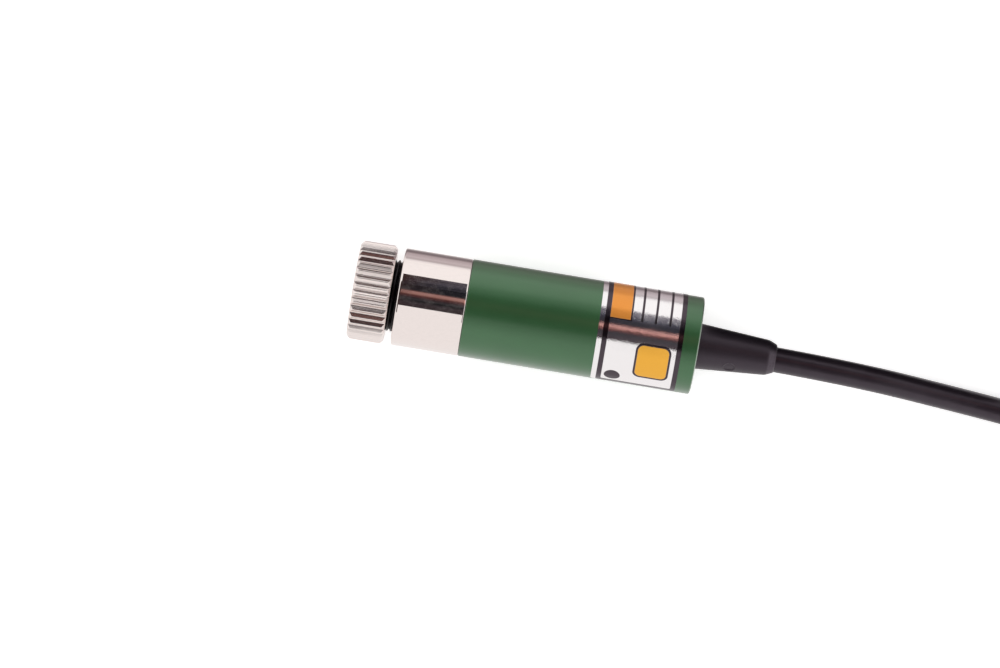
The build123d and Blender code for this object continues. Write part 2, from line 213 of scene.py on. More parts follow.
# The boot's nose as (distance from its end, radius), its sunk mark as its place along X
# and its turn, and how far its edge and its rim reach past its radius
boot_nose_long = 1.05
boot_nose = ((0.85, 2.045), (0.12, 1.73), (0.0, 1.60))
boot_nose_eases = [0, 0.12, 0.25, 0]
boot_mark = (22.0, 52.5)
boot_mark_d = 1.4
boot_mark_deep = 0.12
boot_mark_edge = (-0.09, 0.03)
boot_rim_high = 0.02
boot_rim = (-0.1, 0.05, 0.2)

# Focus thread: where it starts behind the cell's front, and the form of its teeth, as how
# steep the flanks are and how wide the root is
thread_pitch = 0.5
thread_deep = 0.28
thread_start = 1.2
thread_flank = 1.7
thread_root = 0.15

# Where a finish starts and where it is full: bare metal before the tube's end, the
# boot's painted light (its nose painted lighter towards -Y) before its end and by Y,
# and the board's mask in from both faces
tube_bare_rim = (0.13, 0.07)
boot_nose_painted_light = ((0.95, 0.75), (1.2, 0.3))
board_mask = (0.1, 0.12)

# The chip's half width without its legs, and how much of each lead is stripped
chip_half = 1.96
lead_stripped = 1.2

# Label foil: its outline, and the printed fields on it. u runs along X from its front
# edge and v runs round the tube from its low end, both in millimetres.
foil_front = 5.91
foil_wide = 10.05
foil_round = 25.0
foil_low_end = 80.5
foil_thick = 0.05
foil_corner = 0.6
foil_lean = 0.013
foil_middle = 9.0

# Printed fields on the foil, as (u from, u to, v from, v to, corner)
frame_outer = (0.60, foil_wide + 0.1, 0.1, foil_round - 0.1, 0.45)
frame_inner = (1.19, 9.48, 0.9, foil_round - 0.9, 0.25)
orange_bar = (1.19, 3.6, 9.89, 17.9, 0.05)
orange_rim = (1.0, 3.81, 9.76, 18.1, 0.1)
amber_square = (5.0, 8.7, 2.9, 7.17, 0.7)
amber_rim = (4.75, 8.95, 2.65, 7.42, 0.9)
dark_dot = (1.5, 3.4, 1.25, 3.15, 0.95)
dark_lines = tuple((u - 0.14, u + 0.14, 9.9, 23.2, 0.12) for u in (4.97, 6.6, 8.3))

# Cable: its size and its route from the boot's inside to the hank
cable_d = 3.0
cable_route = ((15.2, 0, 0), (33.5, 0, 0), (52.0, -1.4, -4.4), (62.0, -2.45, -4.4))

# Core ends, from the jacket's end: where the insulation stops, and where the twisted
# strands start inside it and stop
core_d = 1.0
core_pitch = 1.24
core_splay = 4.0
core_covered = 6.5
strands_from = 6.3
core_long = 10.5
strand_r = 0.1
strand_spread = 0.2
strand_turns = 0.8

# Hank: two lanes side by side and two layers high, drawn together by a tie
floor_z = -5.9
hank_x = 88.75
hank_y = 7.0
lobe_reach = 16.0
inner_lobe_r = 8.7
lane_step = 3.05
waist_centre = 21.004
inner_waist_r = 17.704
waist_turn = 37.3
lobe_steps = 12
waist_steps = 4
tie_lift = 0.45

# Tie: its inner half width, its top, and its section across the band as (x, depth), with
# thin wings and a thicker middle that holds the wire
tie_wide = 4.0
tie_half = 7.85
tie_thick = 0.45
tie_top = 1.0
tie_gap = 0.02
tie_corner = 1.45
tie_outside = ((-tie_wide / 2, 0.12), (0.15 - tie_wide / 2, 0.0), (-0.55, 0.1), (-0.3, 0.0))
tie_inside = ((-tie_wide / 2, 0.33), (0.15 - tie_wide / 2, 0.43))
twist_r = 0.36
twist_turns = 2.5
twist_long = 5.8
twist_lift = 0.5

# Where the cable's jacket ends, and which way it points there
tail_start = (93.75, -0.229, -1.4)
tail_turn = -19.95


def mm(*values):
    """A point given in millimetres, in metres."""
    return Vector(values) * MM


def add_to_scene(thing):
    """Link a new object into the scene."""
    bpy.context.scene.collection.objects.link(thing)
    return thing


# Camera and cable


def make_camera():
    """The camera at the photograph's place and angle."""
    data = bpy.data.cameras.new("camera")
    data.lens = camera_lens
    data.sensor_width = sensor_wide
    data.clip_start = 0.01
    data.clip_end = 20.0
    camera = add_to_scene(bpy.data.objects.new("camera", data))
    camera.location = camera_place
    camera.rotation_euler = (0, 0, math.radians(camera_turn))
    bpy.context.scene.camera = camera


def smooth_share(value, start, end):
    """0 before start, 1 after end and a smooth rise between them."""
    share = min(1.0, max(0.0, (value - start) / (end - start)))
    return share * share * (3 - 2 * share)


def hank_round():
    """One round of the hank as (part, angle) stops, from the left lobe's bottom."""
    lobe_turn = 90 + waist_turn
    lobe_step = 2 * lobe_turn / lobe_steps
    waist_step = 2 * waist_turn / waist_steps
    stops = []
    for part, start, step, count in (
        ("low", waist_turn + 90, -waist_step, waist_steps),
        ("right", -lobe_turn, lobe_step, lobe_steps),
        ("high", waist_turn - 90, -waist_step, waist_steps),
        ("left", 180 - lobe_turn, lobe_step, lobe_steps),
    ):
        stops += [(part, start + (k + 0.5) * step) for k in range(count)]
    return stops


def hank_point(part, angle, lane, layer):
    """A control point in millimetres; lane is 0 inside and 1 outside, layer is 0 or 1."""
    turn = math.radians(angle)
    z = floor_z + cable_d * (0.5 + layer)
    if part in ("left", "right"):
        half_step = math.radians(90 + waist_turn) / lobe_steps
        r = (inner_lobe_r + lane * lane_step) / math.cos(half_step)
        x = lobe_reach if part == "right" else -lobe_reach
        return (hank_x + x + r * math.cos(turn), hank_y + r * math.sin(turn), z)
    half_step = math.radians(waist_turn) / waist_steps
    r = (inner_waist_r - lane * lane_step) / math.cos(half_step)
    side = -1 if part == "low" else 1
    x, y = r * math.cos(turn), side * waist_centre + r * math.sin(turn)
    lift = tie_lift if abs(x) < r * math.sin(2 * half_step) else 0.0
    return (hank_x + x, hank_y + y, z + lift)


def hank_points():
    """Control points of the folded length: in on the lower layer, out on the upper one."""
    stops = hank_round()
    points = []
    # the way in joins the outer lane near the bottom of the left lobe
    for part, angle in stops[-2:]:
        points.append(hank_point(part, angle, 1, 0))
    for part, angle in stops:
        lane = 1 - smooth_share(angle, 120, 220) if part == "left" else 1
        points.append(hank_point(part, angle, lane, 0))
    for part, angle in stops:
        layer = smooth_share(angle, 50, 150) if part == "left" else 0
        points.append(hank_point(part, angle, 0, layer))
    lane = 0
    for part, angle in stops:
        if part == "right":
            lane = smooth_share(angle, -50, 50)
        points.append(hank_point(part, angle, lane, 1))
    for part, angle in stops[: waist_steps - 1]:
        points.append(hank_point(part, angle, 1, 1))
    points.append(tail_start)
    return points


def make_cable():
    """The whole cable as one smooth curve, from inside the boot to the end of its jacket."""
    points = list(cable_route) + hank_points()
    data = bpy.data.curves.new("cable_cord", "CURVE")
    data.dimensions = "3D"
    data.bevel_depth = 1.0
    data.bevel_resolution = 8
    data.resolution_u = 12
    data.use_fill_caps = True
    spline = data.splines.new("NURBS")
    spline.points.add(len(points) - 1)
    # the bevel is one metre, so that each point's radius is the cable's own
    for point, place in zip(spline.points, points):
        point.co = (*mm(*place), 1.0)
        point.radius = cable_d / 2 * MM
    spline.order_u = 3
    spline.use_endpoint_u = True
    cable = add_to_scene(bpy.data.objects.new("cable_cord", data))
    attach(cable, "housing")
    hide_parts("cable", "cable_hank")
    return cable


# Shapes of the pieces


def eased(outline, ease, closed=True, steps=3):
    """An outline with every corner rounded, and one more point close to each rounding.

    ease is how far each rounding reaches, or a list with one reach for each corner. The
    extra points keep the flat stretches flat in their shading.
    """
    count = len(outline)
    made = []
    for i, here in enumerate(outline):
        if not closed and i in (0, count - 1):
            made.append(here)
            continue
        before, after = Vector(outline[i - 1]), Vector(outline[(i + 1) % count])
        corner = Vector(here)
        wanted = ease[i] if isinstance(ease, list) else ease
        reach = min(wanted, 0.4 * (before - corner).length, 0.4 * (after - corner).length)
        start = corner + (before - corner).normalized() * reach
        end = corner + (after - corner).normalized() * reach
        made.append(tuple(start + (start - corner) * 0.2))
        for k in range(steps + 1):
            t = k / steps
            made.append(tuple(start * (1 - t) ** 2 + corner * 2 * t * (1 - t) + end * t * t))
        made.append(tuple(end + (end - corner) * 0.2))
    return made


def stairs(*values):
    """Corners of a stepped outline, from x, r, x, r and so on: each value holds until the
    next of its kind."""
    pairs = enumerate(zip(values, values[1:]))
    return [pair if i % 2 == 0 else pair[::-1] for i, pair in pairs]


def skin(rows, wide, closed=False):
    """Faces between rows of points, each row a loop; closed joins the last to the first."""
    faces = []
    for k in range(rows if closed else rows - 1):
        here, after = k * wide, (k + 1) % rows * wide
        for i in range(wide):
            j = (i + 1) % wide
            faces.append((here + i, here + j, after + j, after + i))
    return faces


def turned(outline, steps, shape=None):
    """Points and faces of a closed outline of (x, r), turned about the axis.

    steps is a number of equal steps or a list of turns in radians. shape(x, r, turn, k)
    gives a point's own x and r at step k.
    """
    turns = [math.tau * k / steps for k in range(steps)] if isinstance(steps, int) else steps
    points = []
    for k, turn in enumerate(turns):
        for x, r in outline:
            if shape:
                x, r = shape(x, r, turn, k)
            points.append((x, -r * math.sin(turn), r * math.cos(turn)))
    return points, skin(len(turns), len(outline), closed=True)


def tube_along(line, r, sides):
    """Points and faces of a round bar along a list of points, carried without twist."""
    points, side = [], None
    for i, here in enumerate(line):
        along = (line[min(i + 1, len(line) - 1)] - line[max(i - 1, 0)]).normalized()
        if side is None:
            side = along.orthogonal().normalized()
        side = (side - along * side.dot(along)).normalized()
        up = along.cross(side)
        for k in range(sides):
            turn = math.tau * k / sides
            points.append(tuple(here + (side * math.cos(turn) + up * math.sin(turn)) * r))
    ends = [tuple(range(sides))[::-1], tuple(range(len(points) - sides, len(points)))]
    return points, skin(len(line), sides) + ends


def helix(start, end, r, turns, steps, first=0.0, flat=(0, 1, 0), up=(0, 0, 1)):
    """Points that wind round the line from start to end, from flat towards up."""
    start, end, flat, up = Vector(start), Vector(end), Vector(flat), Vector(up)
    line = []
    for i in range(steps + 1):
        turn = first + math.tau * turns * i / steps
        out = flat * math.cos(turn) + up * math.sin(turn)
        line.append(start.lerp(end, i / steps) + out * r)
    return line


def joined(*shapes):
    """Several (points, faces) shapes as one."""
    points, faces = [], []
    for more_points, more_faces in shapes:
        start = len(points)
        points += more_points
        faces += [tuple(start + i for i in face) for face in more_faces]
    return points, faces


def make_piece(name, shape, finish, stands_for=None, body="housing", sharp=32, blend=None):
    """A new piece from points in millimetres, with its finish, riding on its body unless blend is given,
    when it stays in place on no body.

    Its slot has its finish's name.
    """
    points, faces = shape
    mesh = bpy.data.meshes.new(name)
    mesh.from_pydata([mm(*p) for p in points], [], faces)
    work = bmesh.new()
    work.from_mesh(mesh)
    bmesh.ops.remove_doubles(work, verts=work.verts, dist=0.002 * MM)
    bmesh.ops.recalc_face_normals(work, faces=work.faces)
    work.to_mesh(mesh)
    work.free()
    mesh.shade_smooth()
    mesh.set_sharp_from_angle(angle=math.radians(sharp))
    piece = add_to_scene(bpy.data.objects.new(name, mesh))
    mesh.materials.append(finish.material)
    if blend:
        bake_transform(piece)
    else:
        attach(piece, body)
    if stands_for:
        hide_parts(stands_for)
    return piece


def flute_profile():
    """One flute as (share of its pitch, radius), from crest to crest, edges eased."""
    crest = ring_d / 2
    half = math.pi * crest / flute_count
    corners = [(-half, crest - flute_depth), (0, crest), (half, crest - flute_depth)]
    corners = [(-2 * half, crest)] + corners + [(2 * half, crest)]
    eases = [0, valley_ease, crest_ease, valley_ease, 0]
    rounded = eased(corners, eases, closed=False, steps=6)
    return [(s / (2 * half), r) for s, r in rounded if -half < s <= half + 1e-9]


def fluted_ring_shape():
    """The focus ring: V flutes that run out in a bevel at each end, beam hole and pocket."""
    crest = ring_d / 2
    profile = flute_profile()
    turns, reach = [], []
    for k in range(flute_count):
        for share, r in profile:
            turns.append(math.radians(flute_turn) + math.tau * (k + share) / flute_count)
            reach.append(r)
    face_r = crest - ring_bevel
    hole = beam_hole_d / 2
    pocket = thread_d / 2 + slip_gap
    rise = 4
    steps = [ring_bevel * i / rise for i in range(rise + 1)]
    front = [(ring_front + step, face_r + step) for step in steps]
    back = [(ring_front + ring_back - x, r) for x, r in reversed(front)]
    inner = stairs(ring_back, pocket, cell_front, hole, ring_front + beam_hole_bevel)
    inner += [(ring_front, hole + beam_hole_bevel), (ring_front, face_r)]
    inner = eased([(ring_back, face_r)] + inner, turned_ease, closed=False)
    outline = front[1:] + back[:-1] + inner

    def shape(x, r, turn, k):
        # the bevel stops where it meets the flute, so that each flute ends in a mitre
        out = (reach[k] - face_r) * max(0.0, r - face_r) / ring_bevel
        if out == 0.0:
            return x, r
        in_front = x < (ring_front + ring_back) / 2
        return (ring_front + out if in_front else ring_back - out), face_r + out

    return turned(outline, turns, shape)


def threaded_cell_shape():
    """The lens barrel: screw thread outside, pocket, lens seat and bore inside."""
    outer = thread_d / 2
    start, end = cell_front + thread_start, cell_back - thread_lead_in
    stations = int((end - start) / thread_pitch * 12)
    rows = [(start + (end - start) * i / stations, outer) for i in range(stations + 1)]
    hole, lens, retainer = cell_hole_d / 2, lens_d / 2 + slip_gap, retainer_d / 2 + slip_gap
    inside = stairs(cell_back, hole, seat_x, lens, lens_edge_x, retainer, cell_front, outer)
    outline = rows + [(cell_back, outer - thread_lead_in)] + inside

    def shape(x, r, turn, k):
        if r < outer - 0.01 or x < start + 0.01:
            return x, r
        phase = ((x - start) / thread_pitch + turn / math.tau) % 1.0
        tooth = min(1.0, max(0.0, thread_flank * abs(2 * phase - 1) - thread_root))
        run_in = smooth_share(x, start, start + thread_pitch)
        run_out = 1 - smooth_share(x, end - thread_pitch, end)
        return x, r - thread_deep * (1 - tooth) * run_in * run_out

    return turned(outline, 96, shape)


def front_barrel_shape():
    """The plated barrel with its thread bore, web, diode pocket and spigot."""
    outer = body_d / 2
    bore = thread_d / 2 + run_gap
    spigot = outer - tube_wall - slip_gap
    clamp = clamp_d / 2 + slip_gap
    base = diode_d / 2 + slip_gap
    cap = cap_d / 2 + cap_gap
    steps = (x_shoulder, outer, x_joint, spigot, spigot_back, clamp, base_back, base)
    steps += (base_front, cap, web_front, bore, x_shoulder + thread_lead_in)
    outline = [(x_shoulder, bore + thread_lead_in)] + stairs(*steps)
    edges = [barrel_chamfer if r == outer else turned_ease for x, r in outline]
    return turned(eased(outline, edges, steps=6), 192)


def housing_tube_shape():
    """The anodised tube, closed at the back round the boot's neck."""
    outer = body_d / 2
    inner = outer - tube_wall
    hole = boot_neck_d / 2 + slip_gap
    outline = [
        (x_joint, inner),
        (x_joint, outer - joint_chamfer),
        (x_joint + joint_chamfer, outer),
        (x_back - tube_chamfer, outer),
        (x_back, outer - tube_chamfer),
        (x_back, hole),
        (flange_back, hole),
        (flange_back, inner),
    ]
    return turned(eased(outline, tube_ease), 192)


def label_foil_shape():
    """The foil: a thin sheet with rounded corners, wrapped round the tube."""
    inner = body_d / 2
    rows, columns = 150, 40
    wide = 2 * (columns + 1)
    points = []
    for i in range(rows + 1):
        v = foil_round * i / rows
        in_corner = max(0.0, foil_corner - min(v, foil_round - v))
        short = foil_corner - math.sqrt(max(0.0, foil_corner**2 - in_corner**2))
        turn = math.radians(foil_low_end) - v / (inner + foil_thick / 2)
        start = foil_front + short - foil_lean * (v - foil_middle)
        # each row goes out along the outer face and back along the inner one
        for r, order in ((inner + foil_thick, 1), (inner, -1)):
            for j in range(columns + 1)[::order]:
                x = start + (foil_wide - 2 * short) * j / columns
                points.append((x, -r * math.sin(turn), r * math.cos(turn)))
    faces = skin(rows + 1, wide)
    for row in (0, rows * wide):
        for j in range(columns):
            faces.append((row + j, row + j + 1, row + wide - 2 - j, row + wide - 1 - j))
    return points, faces


def boot_shape():
    """The moulded boot with its neck, flange, rounded nose and sunk mark."""
    bore = cable_d / 2 + boot_gap
    neck_r = boot_neck_d / 2
    slope = (boot_end_d - boot_start_d) / 2 / (boot_end - x_back)
    rows = 110
    reach = [(boot_end - boot_nose_long - x_back) * i / rows for i in range(rows + 1)]
    taper = [(x_back + far, boot_start_d / 2 + slope * far) for far in reach]
    nose = [taper[-1]] + [(boot_end - back, r) for back, r in boot_nose]
    nose = eased(nose, boot_nose_eases, closed=False, steps=6)[1:]
    neck = [(flange_back, neck_r), (x_back, neck_r)] + taper[:2]
    neck = eased(neck, turned_ease, closed=False)
    inside = stairs(boot_end - boot_gap, bore, flange_front, boot_flange_d / 2, flange_back)
    outline = neck + taper[2:] + nose + [(boot_end, bore + boot_mouth)] + inside
    mark_x, mark_turn = boot_mark

    def shape(x, r, turn, k):
        # the mark is only in the taper
        if r < bore + 0.3 or x < x_back + 0.5:
            return x, r
        away = math.remainder(turn - math.radians(mark_turn), math.tau) * r
        past = math.hypot(x - mark_x, away) - boot_mark_d / 2
        sunk = 1 - smooth_share(past, *boot_mark_edge)
        rim = smooth_share(past, *boot_rim[:2]) * (1 - smooth_share(past, *boot_rim[1:]))
        return x, r - boot_mark_deep * sunk + boot_rim_high * rim

    return turned(outline, 200, shape)


def lens_shape():
    """The plano-convex lens, crown towards the beam hole."""
    rows = 24
    clear = lens_clear_d / 2
    centre = lens_crown + lens_radius
    outline = []
    for i in range(rows + 1):
        r = clear * i / rows
        outline.append((centre - math.sqrt(lens_radius**2 - r * r), r))
    outline += [(lens_edge_x, lens_d / 2), (seat_x, lens_d / 2), (seat_x, 0)]
    return turned(outline, 96)


def spring_shape():
    """Open coil spring of round wire between the washer and the web."""
    r = (spring_d - spring_wire) / 2
    inset = slip_gap + spring_wire / 2
    start, end = (washer_back + inset, 0, 0), (web_front - inset, 0, 0)
    return tube_along(helix(start, end, r, spring_turns, 64 * spring_turns), spring_wire / 2, 12)


def twist_tie_shape():
    """The tie: a ribbed band round the hank's waist, its ends twisted together on top."""
    low, high = floor_z + tie_gap, tie_top
    corner_y = tie_half + tie_thick - tie_corner
    corner_z = (high - low) / 2 - tie_corner
    section = [*tie_outside, *[(-x, deep) for x, deep in tie_outside[::-1]]]
    section += [*[(-x, deep) for x, deep in tie_inside], *tie_inside[::-1]]
    points = []
    for side_y, side_z, start in ((1, 1, 0), (-1, 1, 90), (-1, -1, 180), (1, -1, 270)):
        middle_y = hank_y + side_y * corner_y
        middle_z = (low + high) / 2 + side_z * corner_z
        for k in range(9):
            turn = math.radians(start + 90 * k / 8)
            for x, deep in section:
                y = middle_y + (tie_corner - deep) * math.cos(turn)
                z = middle_z + (tie_corner - deep) * math.sin(turn)
                points.append((hank_x + x, y, z))
    band = points, skin(36, len(section), closed=True)
    start, end = [(hank_x, hank_y + side * twist_long / 2, high + twist_lift) for side in (-1, 1)]
    strands = []
    for first in (0, math.pi):
        strand = helix(start, end, twist_r, twist_turns, 60, first, flat=(1, 0, 0))
        strands.append(tube_along(strand, twist_r, 10))
    return joined(band, *strands)


def core_end_line(side, far):
    """Points along one core past the jacket's end, to a distance far in millimetres."""
    turn = math.radians(tail_turn)
    along = Vector((math.cos(turn), math.sin(turn), 0))
    across = Vector((-along.y, along.x, 0))
    start = Vector(tail_start) + across * (side * core_pitch / 2)
    aim = along @ Matrix.Rotation(math.radians(-side * core_splay), 3, "Z")
    return [start + aim * (far * i / 8) for i in range(9)]


def core_end_shape(side):
    """The insulation of one core end."""
    return tube_along(core_end_line(side, core_covered), core_d / 2, 24)


def core_strands_shape(side):
    """Seven tinned strands, twisted together, past the insulation."""
    line = core_end_line(side, core_long)
    start, end = line[0].lerp(line[-1], strands_from / core_long), line[-1]
    up = Vector((0, 0, 1))
    flat = (end - start).normalized().cross(up)
    shapes = [tube_along([start + (end - start) * i / 6 for i in range(7)], strand_r, 8)]
    for k in range(6):
        strand = helix(start, end, strand_spread, strand_turns, 24, math.tau * k / 6, flat, up)
        shapes.append(tube_along(strand, strand_r, 8))
    return joined(*shapes)


# Finishes


def shade(colour, share, more=0.0):
    """A colour made darker or lighter."""
    return tuple(min(1.0, c * share + more) for c in colour)


class Wiring:
    """Adds nodes to one node tree and links them."""

    def __init__(self, tree):
        self.tree = tree

    def put(self, socket, value):
        """Link a socket or set a constant on an input."""
        if isinstance(value, bpy.types.NodeSocket):
            self.tree.links.new(value, socket)
        else:
            socket.default_value = (*value, 1.0) if socket.type == "RGBA" else value

    def put_named(self, node, inputs):
        """Feed a node's inputs by their names, with _ for a space."""
        for label, value in inputs.items():
            self.put(node.inputs[label.replace("_", " ")], value)

    def add(self, kind, inputs=None, **settings):
        """A node with its settings and inputs; inputs are by name or by number."""
        node = self.tree.nodes.new("ShaderNode" + kind)
        for name, value in settings.items():
            setattr(node, name, value)
        for name, value in (inputs or {}).items():
            self.put(node.inputs[name], value)
        return node

    def math(self, operation, a, b=0.0):
        """The result of one Math node."""
        return self.add("Math", {0: a, 1: b}, operation=operation).outputs[0]

    def plus(self, a, b):
        return self.math("ADD", a, b)

    def minus(self, a, b):
        return self.math("SUBTRACT", a, b)

    def times(self, a, b):
        return self.math("MULTIPLY", a, b)

    def larger(self, a, b):
        return self.math("MAXIMUM", a, b)

    def ramp(self, value, low, high, to_low=0.0, to_high=1.0):
        """A smooth step from to_low to to_high while value goes from low to high."""
        inputs = {"Value": value, "From Min": low, "From Max": high, "To Min": to_low, "To Max": to_high}
        return self.add("MapRange", inputs, interpolation_type="SMOOTHSTEP").outputs[0]

    def mix(self, share, a, b):
        """A colour between a and b."""
        return self.add("Mix", {0: share, 6: a, 7: b}, data_type="RGBA").outputs[2]

    def bands(self, value, stops):
        """A colour that runs through stops of (value, colour)."""
        low, high = stops[0][0], stops[-1][0]
        share = self.math("DIVIDE", self.minus(value, low), high - low)
        node = self.add("ValToRGB", {0: share})
        marks = node.color_ramp.elements
        while len(marks) < len(stops):
            marks.new(1.0)
        for mark, (stop, colour) in zip(marks, stops):
            mark.position = (stop - low) / (high - low)
            mark.color = (*colour, 1.0)
        return node.outputs[0]

    def place(self):
        """The point on the object as X, Y and Z in metres."""
        return self.add("SeparateXYZ", {0: self.add("TexCoord").outputs["Object"]}).outputs

    def noise(self, grain, detail=2.0, stretch=None, rough=0.5):
        """Noise whose grain is a size in millimetres; stretch scales X, Y and Z first."""
        where = self.add("TexCoord").outputs["Object"]
        if stretch:
            where = self.add("Mapping", {"Vector": where, "Scale": stretch}).outputs[0]
        inputs = {"Vector": where, "Scale": 1 / (grain * MM), "Detail": detail, "Roughness": rough}
        return self.add("TexNoise", inputs).outputs[0]

    def rays(self):
        """A share of 1 for rays straight from the camera, and one for mirrored and refracted ones."""
        path = self.add("LightPath").outputs
        return path["Is Camera Ray"], self.larger(path["Is Glossy Ray"], path["Is Transmission Ray"])


def new_group(name, inputs, outputs):
    """An empty node group with named numbers as its inputs and outputs."""
    tree = bpy.data.node_groups.new(name, "ShaderNodeTree")
    for label in inputs:
        tree.interface.new_socket(label, in_out="INPUT", socket_type="NodeSocketFloat")
    for label in outputs:
        tree.interface.new_socket(label, in_out="OUTPUT", socket_type="NodeSocketFloat")
    start = tree.nodes.new("NodeGroupInput").outputs
    return Wiring(tree), start, tree.nodes.new("NodeGroupOutput").inputs


def make_handling_group():
    """Smudges and fine scratches from handling: a roughness and a small height."""
    inputs = ["Roughness", "Smudge", "Grain"]
    wires, start, end = new_group("handling_marks", inputs, ["Roughness", "Height"])
    smudge = wires.ramp(wires.noise(2.6, 4.0), 0.42, 0.68)
    streak = wires.ramp(wires.noise(0.35, 3.0, stretch=(0.15, 1, 1)), 0.5, 0.7)
    share = wires.plus(wires.times(smudge, 0.7), wires.times(streak, 0.3))
    extra = wires.times(share, start["Smudge"])
    wires.put(end["Roughness"], wires.plus(start["Roughness"], extra))
    wires.put(end["Height"], wires.times(wires.noise(0.05), start["Grain"]))
    return wires.tree


def make_turning_group():
    """Marks of turning on a lathe, fine lines round the axis: a height and a tone."""
    wires, start, end = new_group("turning_lines", ["Pitch", "Depth"], ["Height", "Tone"])
    along = wires.math("DIVIDE", wires.place()[0], wires.times(start["Pitch"], MM))
    inputs = {"W": along, "Scale": 1.0, "Detail": 3.0}
    lines = wires.add("TexNoise", inputs, noise_dimensions="1D").outputs[0]
    wires.put(end["Height"], wires.times(lines, start["Depth"]))
    wires.put(end["Tone"], wires.ramp(lines, 0.3, 0.7, 0.9, 1.0))
    return wires.tree


def make_moulded_group():
    """Moulded plastic or rubber: fine grain and a slow change of tone."""
    outputs = ["Height", "Tone", "Roughness"]
    wires, start, end = new_group("moulded_grain", ["Grain size", "Roughness"], outputs)
    where = wires.add("TexCoord").outputs["Object"]
    scale = wires.math("DIVIDE", 1 / MM, start["Grain size"])
    grain = wires.add("TexNoise", {"Vector": where, "Scale": scale, "Detail": 3.0}).outputs[0]
    wires.put(end["Height"], grain)
    wires.put(end["Tone"], wires.ramp(wires.noise(2.0, 3.0), 0.3, 0.7))
    change = wires.ramp(grain, 0.35, 0.7, -0.06, 0.08)
    wires.put(end["Roughness"], wires.plus(start["Roughness"], change))
    return wires.tree


def make_edge_group():
    """A mask that is 1 on edges, where the rounded normal leaves the flat one."""
    wires, start, end = new_group("edge_wear", ["Width", "Breakup"], ["Mask"])
    radius = wires.times(start["Width"], MM)
    rounded = wires.add("Bevel", {"Radius": radius}, samples=6).outputs[0]
    flat = wires.add("NewGeometry").outputs["Normal"]
    same = wires.add("VectorMath", {0: rounded, 1: flat}, operation="DOT_PRODUCT").outputs["Value"]
    edge = wires.ramp(same, 0.995, 0.93)
    patchy = wires.times(wires.ramp(wires.noise(0.4, 3.0), 0.4, 0.6), start["Breakup"])
    wires.put(end["Mask"], wires.times(edge, wires.minus(1.0, patchy)))
    return wires.tree


def make_field_group():
    """A rounded rectangle in u and v, in millimetres: 1 inside it and 0 outside."""
    inputs = ["u", "v", "Middle u", "Middle v", "Half u", "Half v", "Round"]
    wires, start, end = new_group("printed_field", inputs, ["Mask"])
    past = []
    for axis in ("u", "v"):
        away = wires.math("ABSOLUTE", wires.minus(start[axis], start["Middle " + axis]))
        past.append(wires.minus(away, wires.minus(start["Half " + axis], start["Round"])))
    outside = [wires.larger(p, 0.0) for p in past]
    corner = wires.math("SQRT", wires.plus(*[wires.times(p, p) for p in outside]))
    inside = wires.math("MINIMUM", wires.larger(*past), 0.0)
    away = wires.minus(wires.plus(corner, inside), start["Round"])
    wires.put(end["Mask"], wires.ramp(away, 0.02, -0.02))
    return wires.tree


groups = {
    "handling": make_handling_group(),
    "turning": make_turning_group(),
    "moulded": make_moulded_group(),
    "edge": make_edge_group(),
    "field": make_field_group(),
}


class Finish(Wiring):
    """A material with one Principled shader, its constants on the shader's own sockets."""

    def __init__(self, name, **constants):
        self.name = name
        self.material = bpy.data.materials.new(name)
        self.material.use_nodes = True
        super().__init__(self.material.node_tree)
        self.tree.nodes.clear()
        self.shader = self.add("BsdfPrincipled")
        self.surface = self.add("OutputMaterial", {"Surface": self.shader.outputs[0]}).inputs[0]
        self.set(**constants)

    def set(self, **inputs):
        """Feed the shader's inputs."""
        self.put_named(self.shader, inputs)

    def group(self, kind, **inputs):
        """The outputs of one of the shared groups."""
        node = self.add("Group", node_tree=groups[kind])
        self.put_named(node, inputs)
        return node.outputs

    def bump(self, height, distance, strength=1.0):
        """Feed a height into the shader's normal; distance is in millimetres."""
        inputs = {"Strength": strength, "Distance": distance * MM, "Height": height}
        self.set(Normal=self.add("Bump", inputs).outputs[0])


def plated_finish(name, rough, pitch, depth, haze):
    """Bright nickel plate with faint turning lines, handling marks and a patchy haze."""
    look = Finish(name)
    patches = look.noise(0.6, 5.0, stretch=(0.6, 1, 1), rough=0.7)
    marks = look.group("handling", Roughness=rough, Smudge=0.05, Grain=0.5)
    lines = look.group("turning", Pitch=pitch, Depth=0.5)
    look.set(
        Base_Color=look.mix(lines["Tone"], shade(nickel, 0.93), nickel),
        Metallic=look.ramp(patches, 0.44, 0.62, 1.0, 1.0 - haze),
        Roughness=marks["Roughness"],
    )
    look.bump(look.plus(marks["Height"], lines["Height"]), depth)
    return look


def turned_metal_finish(name, colour, rough, pitch=0.12, depth=0.002, tone=0.8):
    """Plain turned or drawn metal, its edges a little brighter."""
    look = Finish(name, Metallic=1.0)
    marks = look.group("handling", Roughness=rough, Smudge=0.12, Grain=0.5)
    lines = look.group("turning", Pitch=pitch, Depth=1.0)
    edge = look.group("edge", Width=0.06, Breakup=0.5)
    base = look.mix(lines["Tone"], shade(colour, tone), colour)
    base = look.mix(edge["Mask"], base, shade(colour, 1.15))
    look.set(Base_Color=base, Roughness=marks["Roughness"])
    look.bump(look.plus(marks["Height"], lines["Height"]), depth)
    return look


def moulded_finish(name, colour, rough, grain=0.06, depth=0.004, lighter=1.35, **constants):
    """Plain moulded plastic or rubber, its edges a little lighter."""
    look = Finish(name, **constants)
    body = look.group("moulded", Grain_size=grain, Roughness=rough)
    edge = look.group("edge", Width=0.15, Breakup=0.7)
    base = look.mix(body["Tone"], shade(colour, 0.88), colour)
    base = look.mix(edge["Mask"], base, shade(colour, lighter, 0.005))
    look.set(Base_Color=base, Roughness=body["Roughness"])
    look.bump(body["Height"], depth)
    return look


